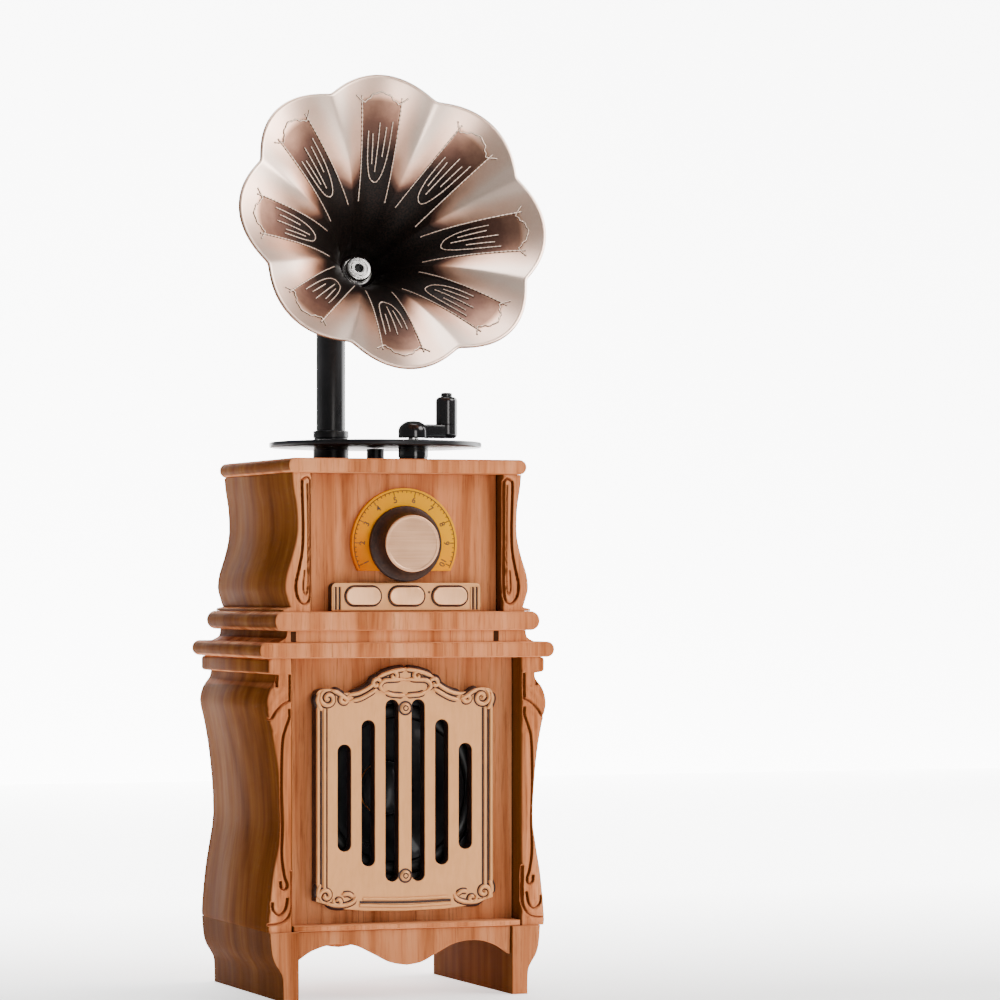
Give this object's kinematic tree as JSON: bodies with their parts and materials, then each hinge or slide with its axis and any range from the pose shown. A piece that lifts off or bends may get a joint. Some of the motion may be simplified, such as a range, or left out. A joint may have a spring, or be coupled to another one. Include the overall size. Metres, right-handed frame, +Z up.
{
  "type": "horn loudspeaker",
  "caption": "Table-top horn loudspeaker: carved two-tier wood-grain cabinet, slotted copper grille, tuning knob, push buttons, hand crank and a swivelling petal horn.",
  "frame": {"origin": "on the surface it stands on, under the middle of the whole object's bounding box", "axes": "+X to the right as seen from the front, +Y towards the back, +Z up; the horn and grille face -Y"},
  "size_m": [0.0968, 0.0868, 0.2694],
  "materials": {
    "walnut_grain": "satin walnut grain",
    "copper_plate": "satin champagne copper plating",
    "knob_copper": "brushed copper plating, darker on the side",
    "antique_copper": "antiqued copper, near black in the throat",
    "dial_yellow": "yellow printed dial",
    "black_gloss": "semi-gloss black",
    "steel": "turned steel",
    "black_plastic": "moulded black",
    "rubber_roll": "soft black roll",
    "speaker_paper": "black coated paper",
    "circuit_board": "green solder mask",
    "battery_wrap": "blue shrink wrap"
  },
  "bodies": {
    "cabinet": {"battery": "battery_wrap", "button_board": "circuit_board", "button_plate": "copper_plate", "charging_socket": "steel", "crank_bearing": "black_gloss", "dial_plate": "dial_yellow", "disc_boss": "black_gloss", "disc_screw": "steel", "dust_cap": "speaker_paper", "front_apron": "walnut_grain", "front_sill": "walnut_grain", "grille_screw_bottom": "copper_plate", "grille_screw_top": "copper_plate", "horn_collar": "black_gloss", "lower_back_cover": "walnut_grain", "lower_cover_screw_1": "steel", "lower_cover_screw_2": "steel", "lower_front_panel": "walnut_grain", "lower_housing": "walnut_grain", "lower_left_post": "walnut_grain", "lower_right_post": "walnut_grain", "main_board": "circuit_board", "plinth_left_side": "walnut_grain", "plinth_right_side": "walnut_grain", "potentiometer": "steel", "power_switch_body": "black_plastic", "rear_apron": "walnut_grain", "record_disc": "black_gloss", "speaker_basket": "black_plastic", "speaker_cone": "speaker_paper", "speaker_grille": "copper_plate", "speaker_magnet": "steel", "speaker_surround": "rubber_roll", "top_cap": "walnut_grain", "upper_back_cover": "walnut_grain", "upper_cover_screw_1": "steel", "upper_cover_screw_2": "steel", "upper_front_panel": "walnut_grain", "upper_housing": "walnut_grain", "upper_left_post": "walnut_grain", "upper_right_post": "walnut_grain", "voice_coil": "copper_plate", "waist_lower_moulding": "walnut_grain", "waist_neck": "walnut_grain", "waist_upper_moulding": "walnut_grain"},
    "knob": {"tuning_knob": "knob_copper", "tuning_shaft": "steel"},
    "left_button": {"button_left": "copper_plate"},
    "middle_button": {"button_middle": "copper_plate"},
    "right_button": {"button_right": "copper_plate"},
    "crank": {"crank_arm": "black_gloss", "crank_axle": "steel", "crank_pin": "black_gloss"},
    "grip": {"crank_grip": "black_gloss"},
    "horn": {"horn_tube": "black_gloss", "horn_bell": "antique_copper", "horn_washer": "steel", "horn_screw": "steel", "horn_insert": "steel"},
    "switch": {"power_switch_slider": "black_plastic"}
  },
  "joints": [
    {"name": "knob_turn", "type": "hinge", "parent": "cabinet", "child": "knob", "pos_m": [0.003, -0.0262, 0.1318], "axis": [0, -1, 0], "range_deg": [-114.75, 114.75]},
    {"name": "left_button_press", "type": "slide", "parent": "cabinet", "child": "left_button", "axis": [0, 1, 0], "range_m": [0, 0.0007], "stiffness_N_per_m": 900},
    {"name": "middle_button_press", "type": "slide", "parent": "cabinet", "child": "middle_button", "axis": [0, 1, 0], "range_m": [0, 0.0007], "stiffness_N_per_m": 900},
    {"name": "right_button_press", "type": "slide", "parent": "cabinet", "child": "right_button", "axis": [0, 1, 0], "range_m": [0, 0.0007], "stiffness_N_per_m": 900},
    {"name": "crank_turn", "type": "hinge", "parent": "cabinet", "child": "crank", "pos_m": [0.0128, -0.0015, 0.163], "axis": [0, 0, 1], "continuous": true},
    {"name": "grip_spin", "type": "hinge", "parent": "crank", "child": "grip", "pos_m": [0.0233, -0.0015, 0.1678], "axis": [0, 0, 1], "continuous": true},
    {"name": "horn_swivel", "type": "hinge", "parent": "cabinet", "child": "horn", "pos_m": [-0.00164, 0.0327, 0.1563], "axis": [0, 0, 1], "continuous": true},
    {"name": "power_switch_slide", "type": "slide", "parent": "cabinet", "child": "switch", "axis": [1, 0, 0], "range_m": [0, 0.002]}
  ]
}
